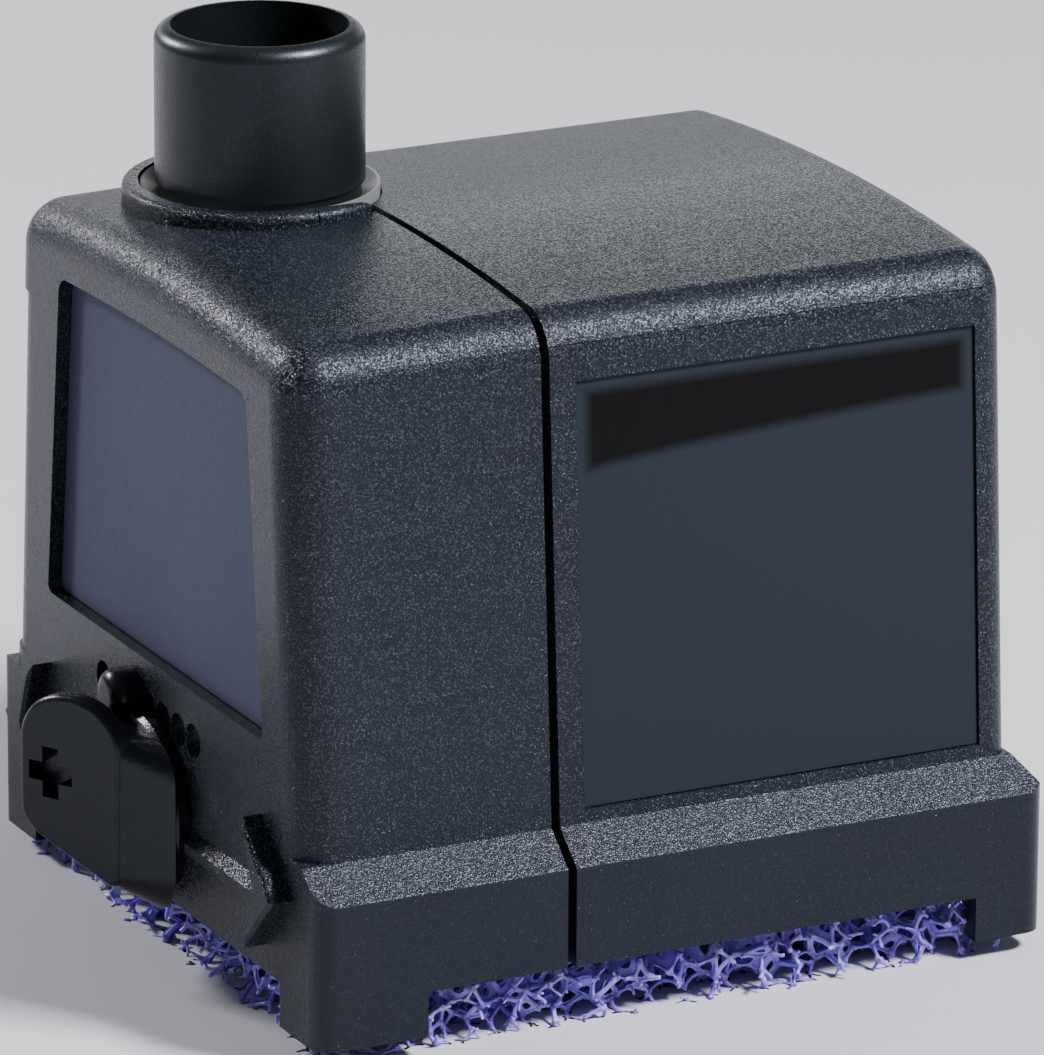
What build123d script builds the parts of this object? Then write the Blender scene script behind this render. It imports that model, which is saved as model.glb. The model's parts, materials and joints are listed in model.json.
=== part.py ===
from build123d import *

import math
import os

# Fountain submersible pump.
# Frame: +Z up, front face towards -Y, outlet stub on the -X side.
# The origin is on the underside of the filter foam, under the middle of the plinth.

# ---- driving dimensions, millimetres ----

# Plinth and feet
PLINTH_W = 36.9          # half width of the plinth
FRONT_Y = -38.5          # flat front face
REAR_Y = 39.1            # rear face of the plinth
FOOT_Z = 2.0             # underside of the four feet
EDGE_Z = 6.5             # raised lower edge between the feet
LEDGE_Z = 16.3           # top of the vertical plinth wall
WALL_Z = 19.3            # foot of the drafted upper wall
FOOT_SIDE_FRONT = 11.4   # length of a front foot along the side
FOOT_SIDE_REAR = 7.7     # length of a rear foot along the side
FOOT_FACE = 8.5          # length of a foot along the front or rear face
PLINTH_CORNER = 2.2

# Upper housing
WALL_W = 33.3            # half width at the foot of the upper wall
LEFT_EXTRA = 2.2         # the left wall stands this much further out than the right
WALL_REAR_Y = 36.9       # rear face of the upper wall
DRAFT = 0.0638           # side wall draft, millimetres per millimetre of height
CROWN_Z = 69.7           # highest line of the crowned top
CROWN_R = 280.0          # radius of the crown across the width
FRONT_DROP = 0.6         # the front shell's top falls this much towards the front
SHOULDER_R = 4.6         # long edges of the top
FRONT_R = 4.3            # edges around the front face
REAR_R = 2.4             # edges around the rear face
SKIN = 2.2               # wall thickness

# Split between the two shells
SPLIT_Y = -12.1
SPLIT_GAP = 0.9
LIP_INSET = 2.55         # outer face of the rear shell's tongue, from the outside
LIP_T = 1.1
LIP_REACH = 3.2

# Outlet
STUB_X = -16.7
STUB_Y = -19.25
STUB_R = 10.2            # outside radius, for a 3/4 inch hose
STUB_BORE_R = 8.62
STUB_TOP = 86.2
STUB_STEP_Z = 71.0       # above this the stub has its hose diameter
STUB_ROOT_R = 9.8        # outside radius of the plugged-in end
BORE_STEP_Z = 67.2       # above this the bore has its full width
ROOT_BORE_R = 8.2
STUB_FOOT = 56.5
STUB_GROOVE_R = 8.85     # floor of the stub's O-ring groove
STUB_SEAL_R = 9.33       # middle radius and section radius of its O-ring
STUB_SEAL_T = 0.48
STUB_LIP_R = 1.45
COLLAR_TOP = 70.8
COLLAR_R = 13.4
COLLAR_ROUND = 0.7
HOLE_R = 11.8
HOLE_FOOT = 38.0         # the shells clear the discharge neck from here up
GROMMET_R = 11.6
GROMMET_FOOT = 66.2
GROMMET_TOP = 70.6
GROMMET_BEVEL = 1.1      # width of the funnel-shaped inner edge

# Front label window, a trapezoid with an arched top
WINDOW_FOOT_Z = 29.2
WINDOW_TOP_Z = 62.0
WINDOW_FOOT_W = 24.75
WINDOW_TOP_W = 21.3
WINDOW_ARCH = 0.55
WINDOW_DEPTH = 1.8
LABEL_T = 0.4
LABEL_EDGE = 0.12
PAD_BACK_Y = -34.5       # inner face of the thick zone behind window and notches
PAD_HALF_W = 26.5
PAD_Z0 = 21.0
PAD_Z1 = 64.0

# Shallow recess in the left wall of the front shell
LEFT_PANEL_Z0 = 21.3
LEFT_PANEL_Z1 = 58.6
LEFT_PANEL_DEPTH = 0.75

# Side window, on the +X wall of the rear shell
SIDE_Y0 = -9.0
SIDE_Y1 = 33.5
SIDE_Z0 = 20.6
SIDE_Z1 = 62.0
SIDE_DEPTH = 0.6
SIDE_LABEL_T = 0.3

# Setting marks and arrows on the front face
NOTCH_COUNT = 7
NOTCH_PITCH = 3.45
NOTCH_FIRST_X = -11.5
NOTCH_R = 1.7
NOTCH_Z = 24.3
NOTCH_SINK = 0.3         # how far behind the wall's face a mark's centre lies
ARROW_X = 24.4
ARROW_TIP_X = 31.0
ARROW_HALF_H = 6.5
ARROW_BLADE = 3.4
ARROW_H = 2.2
RIB_H = 1.2
RIB_X0 = 9.7
RIB_X1 = 25.5

# Flow regulator, turning about a line along Y
REG_Z = 15.4
REG_DISC_R = 9.0
REG_DISC_T = 1.5
REG_GAP = 0.3            # air between the disc and the front face
REG_STEM_R = 3.0
RUN = 0.05               # radial running clearance
GRIP_LEFT = 4.2          # from the cross recess to the grip's left and right edge, along its face
GRIP_RIGHT = 7.2
GRIP_CROSS_X = -2.9      # middle of the cross recess
GRIP_CROSS_Z = 18.7
GRIP_CROSS_H = 9.5       # its height in front of the wall
GRIP_YAW = 30.0
CROSS_SPAN = 5.1
CROSS_ARM = 1.9
CROSS_DEPTH = 1.6
TAB_X = -4.0             # pointer tab above the grip
TAB_Z = 25.2
TAB_R = 2.6
TAB_H = 1.6              # how far the tab stands out of the disc
TAB_ROUND = 1.5
GRIP_BLADE = 1.3         # thickness of the grip's upper part, behind its face
GRIP_STEP_Z = 21.6       # the upper part of the grip is only that thick from here up
FLANK_X = 8.8            # the grip's right flank runs out to the disc's edge
FLANK_EDGE_X = 3.1       # where the flank meets the face
FLANK_EDGE_Y = -44.3
FLANK_TOP_Z = 23.2
FLANK_FOOT_Z = 6.3
FLANK_EDGE_FOOT_Z = 8.7
SHUTTER_Y0 = -34.3
SHUTTER_Y1 = -33.1

# Rotor line, along Y
ROTOR_X = -5.0
ROTOR_Z = 40.0
SHAFT_R = 1.5
SHAFT_Y0 = -26.0
SHAFT_Y1 = 22.6
MAGNET_R = 8.6
MAGNET_Y0 = -1.0
MAGNET_Y1 = 19.0
WELL_R = 9.4
WELL_T = 1.0
WELL_END = 23.0
IMPELLER_R = 11.2
IMPELLER_Y0 = -20.0
IMPELLER_BACK = -8.6
BLADES = 6

# Pump chamber
CHAMBER_R = 16.5
NECK_R = 11.3            # outside of the discharge neck
NECK_FOOT = 43.8
CAVITY_R = 13.5
SPIGOT_R = 11.9          # the cover's spigot, inside the chamber's mouth
CHAMBER_Y0 = -24.5
CAVITY_Y0 = -22.5
CHAMBER_Y1 = -5.5
CHAMBER_SEAL_R = 15.0    # middle radius and section radius of the chamber's O-ring
CHAMBER_SEAL_T = 0.84
COVER_Y0 = -26.5
EYE_R = 6.0
POST_RADIUS = 19.6
POST_ANGLES = (30, -38, 218)
POST_R = 3.0
EAR_Y0 = -17.0
EAR_Y1 = -14.0
SCREW_R = 1.25
SCREW_HEAD_R = 2.6

# Motor housing and stator
CASE_X0 = -26.0
CASE_X1 = 28.0
CASE_Y1 = 31.0
CASE_Z0 = 16.2
CASE_Z1 = 63.4
CASE_T = 1.5
STACK_Y0 = 2.0
STACK_Y1 = 20.0
LEG_IN = 9.0             # from the rotor line to the inner face of a leg
LEG_T = 7.0
CORE_X0 = -16.0
CORE_X1 = 26.0
COIL_X0 = 6.8
COIL_X1 = 18.6
COIL_T = 4.6
BOBBIN_T = 0.8

# Foam and its grid
FOAM_W = 33.0
FOAM_Y0 = -32.5
FOAM_Y1 = 33.5
FOAM_TOP = 13.0
FOAM_STEP = 6.2          # below this height the foam is wider and fills the plinth
FOAM_LOW_W = 34.2
FOAM_LOW_Y0 = -36.0
FOAM_LOW_Y1 = 35.9
GRID_Z0 = 13.2
GRID_Z1 = 15.2
GRID_W = 34.2
PORT_Y0 = -32.6
PORT_Y1 = -31.1

# Cable inlet, in the rear wall
GLAND_X = 0.0
GLAND_Z = 31.0
GLAND_BORE_R = 3.2
GLAND_BODY_R = 5.5
GLAND_HEX_R = 7.4
GLAND_END = 42.3


# ---- helpers ----

def block(x0, x1, y0, y1, z0, z1):
    """A box from its lowest and highest corners."""
    centre = Pos((x0 + x1) / 2, (y0 + y1) / 2, (z0 + z1) / 2)
    return centre * Box(x1 - x0, y1 - y0, z1 - z0)


def rod_y(x, z, radius, y0, y1):
    """A cylinder along Y."""
    return Pos(x, (y0 + y1) / 2, z) * Rot(90, 0, 0) * Cylinder(radius, y1 - y0)


def rod_z(x, y, radius, z0, z1):
    """A cylinder along Z."""
    return Pos(x, y, (z0 + z1) / 2) * Cylinder(radius, z1 - z0)


def cone_y(x, z, r0, r1, y0, y1):
    """A cone along Y, of radius r0 at y0 and r1 at y1."""
    return Pos(x, (y0 + y1) / 2, z) * Rot(-90, 0, 0) * Cone(r0, r1, y1 - y0)


def front_plane(y):
    """A sketch plane facing the front, with local axes along X and Z."""
    return Plane.XZ.offset(-y)


def prism_y(sketch, y0, y1):
    """Extrude a front sketch from y0 back to y1."""
    return extrude(front_plane(y1) * sketch, y1 - y0)


def half_width(z, inset=0.0):
    """Half width of the drafted upper wall at height z."""
    return WALL_W - DRAFT * (z - WALL_Z) - inset


def crown(x, inset=0.0):
    """Height of the crowned top at x."""
    return CROWN_Z - x * x / (2 * CROWN_R) - inset


def ring_y(x, z, r_in, r_out, y0, y1):
    """A plain ring about a line along Y."""
    return rod_y(x, z, r_out, y0, y1) - rod_y(x, z, r_in, y0 - 1, y1 + 1)


def ring_z(x, y, r_in, r_out, z0, z1):
    """A plain ring about a line along Z."""
    return rod_z(x, y, r_out, z0, z1) - rod_z(x, y, r_in, z0 - 1, z1 + 1)


def rotor_point(angle, radius):
    """X and Z of a point around the rotor line."""
    turn = math.radians(angle)
    return ROTOR_X + radius * math.cos(turn), ROTOR_Z + radius * math.sin(turn)


# ---- outer form ----

def section(inset=0.0):
    """Cross section of the upper housing, drafted walls under a crowned top."""
    foot_z = LEDGE_Z - 2.5
    top_w = half_width(crown(30.0), inset)
    top_z = crown(top_w, inset)
    foot_w = half_width(foot_z, inset)
    left_foot = -foot_w - LEFT_EXTRA
    left_top = -top_w - LEFT_EXTRA
    left_z = crown(left_top, inset)
    left = Line((left_foot, foot_z), (left_top, left_z))
    top = ThreePointArc((left_top, left_z), (0, crown(0, inset)), (top_w, top_z))
    right = Line((top_w, top_z), (foot_w, foot_z))
    foot = Line((foot_w, foot_z), (left_foot, foot_z))
    face = make_face(left + top + right + foot)
    shoulders = face.vertices().sort_by(Axis.Y)[-2:]
    return fillet(shoulders, max(SHOULDER_R - inset, 1.0))


def upper_front(inset, front_y):
    """Front part of the upper form, its top falling towards the front face."""
    length = SPLIT_Y - front_y
    drop = FRONT_DROP * length / (SPLIT_Y - FRONT_Y)
    reach = math.hypot(length, drop)
    face = front_plane(SPLIT_Y) * section(inset)
    return extrude(face, amount=reach, dir=(0, -length / reach, -drop / reach))


def upper_rear(inset, y0, y1):
    """Rear part of the upper form, with a level top."""
    return prism_y(section(inset), y0, y1)


def outline_edges(solid, y):
    """Edges around an end face, all but the lowest."""
    edges = solid.edges().filter_by_position(Axis.Y, y - 0.01, y + 0.01)
    return edges.sort_by(Axis.Z)[1:]


def plinth(y0, y1, rear):
    """Plinth from y0 to y1, with the sloped ledge that carries the upper wall."""
    depth = y1 - y0
    base = block(-PLINTH_W, PLINTH_W, y0, y1, FOOT_Z, LEDGE_Z)
    top_y1 = WALL_REAR_Y if rear else y1
    low = Plane.XY.offset(LEDGE_Z) * Pos(0, (y0 + y1) / 2) * Rectangle(2 * PLINTH_W, depth)
    high = Plane.XY.offset(WALL_Z) * Pos(-LEFT_EXTRA / 2, (y0 + top_y1) / 2)
    high = high * Rectangle(2 * half_width(WALL_Z) + LEFT_EXTRA, top_y1 - y0)
    return base + loft([low.faces()[0], high.faces()[0]], ruled=True)


def plinth_hollow(y0, y1):
    """Space inside the plinth."""
    inner = PLINTH_W - SKIN
    return block(-inner, inner, y0, y1, FOOT_Z - 1, LEDGE_Z - 0.9)


def foot_gaps(y0, y1, face_y):
    """Cuts that raise the lower edge between the feet."""
    low = FOOT_Z - 1
    along = block(-PLINTH_W - 1, PLINTH_W + 1, y0, y1, low, EDGE_Z)
    gap_w = PLINTH_W - FOOT_FACE
    across = block(-gap_w, gap_w, face_y - 4, face_y + 4, low, EDGE_Z)
    return along, across


def parting_groove(y0, y1):
    """The fine witness line under the shoulders of both side walls."""
    line_z = SIDE_Z1 + 3.3
    band = block(-40, 40, y0, y1, line_z, line_z + 0.25)
    return band - prism_y(section(0.12), y0 - 1, y1 + 1)


# ---- outlet collar ----

def collar():
    """Raised ring around the stub, on the front shell only, with a moulding seam at its side."""
    ring = rod_z(STUB_X, STUB_Y, COLLAR_R, CROWN_Z - 4, COLLAR_TOP)
    ring = fillet(ring.edges().sort_by(Axis.Z)[-1], COLLAR_ROUND)
    seam_x = STUB_X + COLLAR_R
    seam = block(seam_x - 3, seam_x - 0.2, STUB_Y - 0.08, STUB_Y + 0.08, COLLAR_TOP - 0.2, COLLAR_TOP + 1)
    seam = seam + block(seam_x - 0.25, seam_x + 1, STUB_Y - 0.08, STUB_Y + 0.08, CROWN_Z, COLLAR_TOP + 1)
    return (ring - seam) & block(-40, 40, FRONT_Y, SPLIT_Y, 50, 80)


def stub_hole():
    """Hole for the stub and its grommet, open towards the split."""
    hole = rod_z(STUB_X, STUB_Y, HOLE_R, HOLE_FOOT, 80)
    way = block(STUB_X - HOLE_R, STUB_X + HOLE_R, STUB_Y, SPLIT_Y, HOLE_FOOT, 80)
    return hole, way


# ---- front shell ----

def window_sketch(edge=0.0):
    """Outline of the label window, drawn in by edge."""
    foot_z = WINDOW_FOOT_Z + edge
    top_z = WINDOW_TOP_Z - edge
    foot_w = WINDOW_FOOT_W - edge
    top_w = WINDOW_TOP_W - edge
    left = Line((-foot_w, foot_z), (-top_w, top_z))
    top = ThreePointArc((-top_w, top_z), (0, top_z + WINDOW_ARCH), (top_w, top_z))
    right = Line((top_w, top_z), (foot_w, foot_z))
    foot = Line((foot_w, foot_z), (-foot_w, foot_z))
    face = make_face(left + top + right + foot)
    corners = face.vertices().sort_by(Axis.Y)
    face = fillet(corners[:2], 0.8)
    top_corners = face.vertices().sort_by(Axis.Y)[-2:]
    return fillet(top_corners, 1.8)


def arrow_side(sign):
    """One raised arrow with its shaft ribs."""
    tip = (sign * ARROW_TIP_X, REG_Z)
    head = (sign * ARROW_X, REG_Z + ARROW_HALF_H)
    tail = (sign * (ARROW_X + 0.2), REG_Z - ARROW_HALF_H)
    crotch = (sign * (ARROW_TIP_X - ARROW_BLADE * 1.25), REG_Z)
    blade = make_face(Polyline(tip, head, crotch, tail, tip))
    raised = prism_y(blade, FRONT_Y - ARROW_H, FRONT_Y + 0.2)
    raised = chamfer(raised.faces().sort_by(Axis.Y)[0].edges(), 0.35)
    x0, x1 = sorted((sign * RIB_X0, sign * RIB_X1))
    top_z = REG_Z - 0.1
    profile = Polyline(
        (FRONT_Y + 0.2, top_z), (FRONT_Y, top_z), (FRONT_Y - RIB_H, top_z - 0.9),
        (FRONT_Y - RIB_H, top_z - 1.9), (FRONT_Y + 0.2, top_z - 2.1), (FRONT_Y + 0.2, top_z),
    )
    rib = extrude(Plane.YZ.offset(x0) * make_face(profile), x1 - x0)
    return raised + rib


def notches():
    """Row of round setting marks, scooped into the wall side by side."""
    scoops = []
    for index in range(NOTCH_COUNT):
        x = NOTCH_FIRST_X + NOTCH_PITCH * index
        scoops.append(Pos(x, FRONT_Y + NOTCH_SINK, NOTCH_Z) * Sphere(NOTCH_R))
    return scoops


def make_front_shell():
    y1 = SPLIT_Y - SPLIT_GAP / 2
    body = upper_front(0, FRONT_Y)
    body = fillet(outline_edges(body, FRONT_Y), FRONT_R)
    left_zone = block(-40, -10, FRONT_Y - 1, SPLIT_Y + 1, LEFT_PANEL_Z0, LEFT_PANEL_Z1)
    body = body - (left_zone - Pos(LEFT_PANEL_DEPTH, 0, 0) * body)
    base = plinth(FRONT_Y, SPLIT_Y, rear=False)
    corners = base.edges().filter_by(Axis.Z).filter_by_position(Axis.Y, FRONT_Y - 0.1, FRONT_Y + 0.1)
    base = fillet(corners, PLINTH_CORNER)
    shell = body + base + collar()
    inner_y = FRONT_Y + SKIN
    shell = shell - upper_front(SKIN, inner_y) - plinth_hollow(inner_y, SPLIT_Y + 1)
    shell = shell + block(-PAD_HALF_W, PAD_HALF_W, inner_y - 0.5, PAD_BACK_Y, PAD_Z0, PAD_Z1)
    along, across = foot_gaps(FRONT_Y + FOOT_SIDE_FRONT, SPLIT_Y + 1, FRONT_Y)
    shell = shell - along - across
    hole, way = stub_hole()
    shell = shell - hole - way
    shell = shell - prism_y(window_sketch(), FRONT_Y - 1, FRONT_Y + WINDOW_DEPTH)
    for scoop in notches():
        shell = shell - scoop
    shell = shell + arrow_side(1) + arrow_side(-1)
    boss = rod_y(0, REG_Z, REG_STEM_R + 2.2, inner_y - 0.5, inner_y + 0.2)
    shell = shell + boss - rod_y(0, REG_Z, REG_STEM_R + RUN, FRONT_Y - 1, FRONT_Y + 6)
    shell = shell - parting_groove(FRONT_Y + FRONT_R, SPLIT_Y)
    return shell - block(-60, 60, y1, 60, -10, 100)


def make_front_label():
    floor_y = FRONT_Y + WINDOW_DEPTH
    return prism_y(window_sketch(LABEL_EDGE), floor_y - LABEL_T, floor_y)


# ---- rear shell ----

def side_window(inset_out, inset_in, edge):
    """The slab of side wall between two insets, inside the window's outline."""
    frame = block(20, 45, SIDE_Y0 + edge, SIDE_Y1 - edge, SIDE_Z0 + edge, SIDE_Z1 - edge)
    y0 = SIDE_Y0 - 1
    y1 = SIDE_Y1 + 1
    slab = frame - prism_y(section(inset_in), y0, y1)
    if inset_out > 0:
        slab = slab & prism_y(section(inset_out), y0, y1)
    return slab


def tongue(y0, y1):
    """Thin tongue of the rear shell that reaches into the front shell."""
    inner = LIP_INSET + LIP_T
    lip = prism_y(section(LIP_INSET), y0, y1) - prism_y(section(inner), y0 - 1, y1 + 1)
    root = prism_y(section(SKIN - 0.3), y1, y1 + 3) - prism_y(section(inner), y1 - 1, y1 + 4)
    lip = (lip + root) - block(-60, 60, y0 - 2, y1 + 5, 0, LEDGE_Z - 0.8)
    wall = PLINTH_W - SKIN
    for side in (1, -1):
        x0, x1 = sorted((side * (wall - 1.5), side * (wall - 0.35)))
        lip = lip + block(x0, x1, y0, y1 + 3, EDGE_Z + 1, LEDGE_Z - 3.3)
        x0, x1 = sorted((side * (wall - 1.5), side * (wall + 0.3)))
        lip = lip + block(x0, x1, y1 + 0.05, y1 + 3, EDGE_Z + 1, LEDGE_Z - 3.3)
    return lip


def make_rear_shell():
    y0 = SPLIT_Y + SPLIT_GAP / 2
    body = upper_rear(0, SPLIT_Y, WALL_REAR_Y)
    body = fillet(outline_edges(body, WALL_REAR_Y), REAR_R)
    base = plinth(SPLIT_Y, REAR_Y, rear=True)
    corners = base.edges().filter_by(Axis.Z).filter_by_position(Axis.Y, REAR_Y - 0.1, REAR_Y + 0.1)
    base = fillet(corners, PLINTH_CORNER)
    shell = body + base
    shell = shell - upper_rear(SKIN, SPLIT_Y - 1, WALL_REAR_Y - SKIN)
    shell = shell - plinth_hollow(SPLIT_Y - 1, REAR_Y - SKIN)
    along, across = foot_gaps(SPLIT_Y - 1, REAR_Y - FOOT_SIDE_REAR, REAR_Y)
    shell = shell - along - across
    for rib_y in (6.0, 26.0):
        shell = shell + block(-20, 20, rib_y - 1, rib_y + 1, CASE_Z1 + 0.1, crown(20, SKIN) + 0.4)
    shell = shell - side_window(0, SIDE_DEPTH, 0)
    shell = shell - parting_groove(SPLIT_Y, WALL_REAR_Y - REAR_R)
    shell = shell - block(-60, 60, -60, y0, -10, 100)
    shell = shell + tongue(y0 - LIP_REACH, y0)
    hole, way = stub_hole()
    shell = shell - hole - way
    return shell - rod_y(GLAND_X, GLAND_Z, GLAND_BODY_R + 0.05, 30, 50)


def make_side_label():
    return side_window(SIDE_DEPTH - SIDE_LABEL_T, SIDE_DEPTH, LABEL_EDGE)


# ---- filter ----

def make_filter_foam():
    low = block(-FOAM_LOW_W, FOAM_LOW_W, FOAM_LOW_Y0, FOAM_LOW_Y1, 0, FOAM_STEP)
    return low + block(-FOAM_W, FOAM_W, FOAM_Y0, FOAM_Y1, 0, FOAM_TOP)


def make_foam_grid():
    plate = block(-GRID_W, GRID_W, FOAM_Y0, REAR_Y - SKIN - 0.4, GRID_Z0, GRID_Z1)
    bar = 2.4
    columns = 8
    rows = 5
    slot_w = (2 * GRID_W - bar * (columns + 1)) / columns
    grid_y1 = REAR_Y - SKIN - 0.4
    slot_l = (grid_y1 - FOAM_Y0 - bar * (rows + 1)) / rows
    for column in range(columns):
        for row in range(rows):
            x0 = -GRID_W + bar + column * (slot_w + bar)
            y0 = FOAM_Y0 + bar + row * (slot_l + bar)
            plate = plate - block(x0, x0 + slot_w, y0, y0 + slot_l, GRID_Z0 - 1, GRID_Z1 + 1)
    port = block(-11, 11, PORT_Y0, PORT_Y1, GRID_Z0, REG_Z + 11)
    window = rod_y(0, REG_Z, 8.0, PORT_Y0 - 1, PORT_Y1 + 1) - rod_y(0, REG_Z, 3.2, PORT_Y0 - 2, PORT_Y1 + 2)
    window = window & block(-20, 20, PORT_Y0 - 1, PORT_Y1 + 1, REG_Z + 1, 60)
    sill = block(-11, 11, FOAM_Y0, FOAM_Y0 + 3, GRID_Z0, GRID_Z1)
    return plate + sill + port - window


# ---- pump chamber and outlet ----

def make_pump_chamber():
    body = rod_y(ROTOR_X, ROTOR_Z, CHAMBER_R, CHAMBER_Y0, CHAMBER_Y1)
    neck = rod_z(STUB_X, STUB_Y, NECK_R, NECK_FOOT, GROMMET_FOOT)
    body = body + neck
    for angle in POST_ANGLES:
        x, z = rotor_point(angle, POST_RADIUS)
        mid_x, mid_z = rotor_point(angle, POST_RADIUS - 4)
        web = Rot(0, -angle, 0) * Box(8, EAR_Y1 - EAR_Y0, 2 * POST_R)
        web = Pos(mid_x, (EAR_Y0 + EAR_Y1) / 2, mid_z) * web
        body = body + rod_y(x, z, POST_R, EAR_Y0, EAR_Y1) + web
    body = body - rod_y(ROTOR_X, ROTOR_Z, CAVITY_R, CAVITY_Y0, CHAMBER_Y1 + 1)
    body = body - rod_y(ROTOR_X, ROTOR_Z, SPIGOT_R + 0.1, CHAMBER_Y0 - 0.02, CAVITY_Y0 + 1)
    body = body - rod_z(STUB_X, STUB_Y, ROOT_BORE_R, NECK_FOOT + 1.6, GROMMET_FOOT + 1)
    body = body - rod_z(STUB_X, STUB_Y, STUB_ROOT_R + RUN, STUB_FOOT, GROMMET_FOOT + 1)
    seal_in = CHAMBER_SEAL_R - CHAMBER_SEAL_T - 0.11
    seal_out = CHAMBER_SEAL_R + CHAMBER_SEAL_T + 0.11
    body = body - ring_y(ROTOR_X, ROTOR_Z, seal_in, seal_out, CHAMBER_Y1 - 1.7, CHAMBER_Y1 + 1)
    for angle in POST_ANGLES:
        x, z = rotor_point(angle, POST_RADIUS)
        body = body - rod_y(x, z, SCREW_R + 0.15, EAR_Y0 - 1, EAR_Y1 + 1)
    return body


def make_chamber_cover():
    plate = rod_y(ROTOR_X, ROTOR_Z, CHAMBER_R - 0.5, COVER_Y0, CHAMBER_Y0)
    plate = plate - rod_z(STUB_X, STUB_Y, NECK_R + 0.1, NECK_FOOT - 0.1, GROMMET_FOOT)
    spigot = rod_y(ROTOR_X, ROTOR_Z, SPIGOT_R, CHAMBER_Y0 - 0.01, CAVITY_Y0)
    spigot = spigot - rod_z(STUB_X, STUB_Y, ROOT_BORE_R, NECK_FOOT + 1.6, GROMMET_FOOT)
    cover = plate + spigot - rod_y(ROTOR_X, ROTOR_Z, EYE_R, COVER_Y0 - 1, CAVITY_Y0 + 1)
    hub = rod_y(ROTOR_X, ROTOR_Z, 3.4, COVER_Y0, CAVITY_Y0)
    for angle in (90, 210, 330):
        x, z = rotor_point(angle, EYE_R - 1.2)
        hub = hub + Pos(x, (COVER_Y0 + CAVITY_Y0) / 2, z) * Rot(0, -angle, 0) * Box(3.4, 4.0, 1.2)
    return cover + hub - rod_y(ROTOR_X, ROTOR_Z, 2.6, COVER_Y0 + 0.4, CAVITY_Y0 + 1)


def make_outlet_stub():
    tube = rod_z(STUB_X, STUB_Y, STUB_R, STUB_STEP_Z, STUB_TOP)
    tube = fillet(tube.edges().sort_by(Axis.Z)[-1], STUB_LIP_R)
    tube = tube + rod_z(STUB_X, STUB_Y, STUB_ROOT_R, STUB_FOOT, STUB_STEP_Z + 1)
    tube = tube - rod_z(STUB_X, STUB_Y, ROOT_BORE_R, STUB_FOOT - 1, STUB_TOP + 1)
    tube = tube - rod_z(STUB_X, STUB_Y, STUB_BORE_R, BORE_STEP_Z, STUB_TOP + 1)
    return tube - ring_z(STUB_X, STUB_Y, STUB_GROOVE_R, STUB_ROOT_R + 1, STUB_FOOT + 2.4, STUB_FOOT + 3.6)


def make_stub_o_ring():
    return Pos(STUB_X, STUB_Y, STUB_FOOT + 3.0) * Torus(STUB_SEAL_R, STUB_SEAL_T)


def make_outlet_grommet():
    ring = ring_z(STUB_X, STUB_Y, STUB_ROOT_R + RUN, GROMMET_R, GROMMET_FOOT, GROMMET_TOP)
    funnel = Pos(STUB_X, STUB_Y, GROMMET_TOP - GROMMET_BEVEL / 2)
    funnel = funnel * Cone(STUB_ROOT_R + RUN, STUB_R + RUN + GROMMET_BEVEL, GROMMET_BEVEL + 0.001)
    return ring - funnel


def make_chamber_o_ring():
    return Pos(ROTOR_X, CHAMBER_Y1 - 0.85, ROTOR_Z) * Rot(90, 0, 0) * Torus(CHAMBER_SEAL_R, CHAMBER_SEAL_T)


def make_chamber_screws():
    screws = []
    for angle in POST_ANGLES:
        x, z = rotor_point(angle, POST_RADIUS)
        shank = rod_y(x, z, SCREW_R, EAR_Y0, -7.5)
        head = rod_y(x, z, SCREW_HEAD_R, EAR_Y0 - 2.0, EAR_Y0)
        slot = block(x - 0.4, x + 0.4, EAR_Y0 - 3, EAR_Y0 - 1.0, z - 1.6, z + 1.6)
        slot = slot + block(x - 1.6, x + 1.6, EAR_Y0 - 3, EAR_Y0 - 1.0, z - 0.4, z + 0.4)
        screws.append((shank + head - slot).solids()[0])
    return Compound(children=screws)


# ---- motor ----

def well(radius, end_y):
    """Solid of the rotor well's outside or inside."""
    return rod_y(ROTOR_X, ROTOR_Z, radius, CHAMBER_Y1 - 0.01, end_y)


def case_inside(end_y):
    """The space inside the motor case, back to end_y."""
    x0, x1 = CASE_X0 + CASE_T, CASE_X1 - CASE_T
    z0, z1 = CASE_Z0 + CASE_T, CASE_Z1 - CASE_T
    return block(x0, x1, CHAMBER_Y1 + CASE_T, end_y, z0, z1)


def make_motor_housing():
    case = block(CASE_X0, CASE_X1, CHAMBER_Y1, CASE_Y1, CASE_Z0, CASE_Z1)
    case = fillet(case.edges().filter_by(Axis.Y), 2.5)
    case = case - case_inside(CASE_Y1 + 1) + well(WELL_R + WELL_T, WELL_END + WELL_T)
    for angle in POST_ANGLES:
        x, z = rotor_point(angle, POST_RADIUS)
        case = case + rod_y(x, z, POST_R, EAR_Y1, CHAMBER_Y1 + 1)
        case = case - rod_y(x, z, SCREW_R + 0.02, EAR_Y1 - 1, -7.0)
    seat = rod_y(ROTOR_X, ROTOR_Z, 3.6, WELL_END - 3, WELL_END)
    seat = seat - rod_y(ROTOR_X, ROTOR_Z, 2.6, WELL_END - 4, WELL_END - 0.2)
    case = case - rod_y(ROTOR_X, ROTOR_Z, WELL_R, CHAMBER_Y1 - 1, WELL_END)
    return case + seat


def leg_z(side):
    """Lowest and highest Z of a stator leg."""
    near = ROTOR_Z + side * LEG_IN
    far = ROTOR_Z + side * (LEG_IN + LEG_T)
    return min(near, far), max(near, far)


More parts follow.
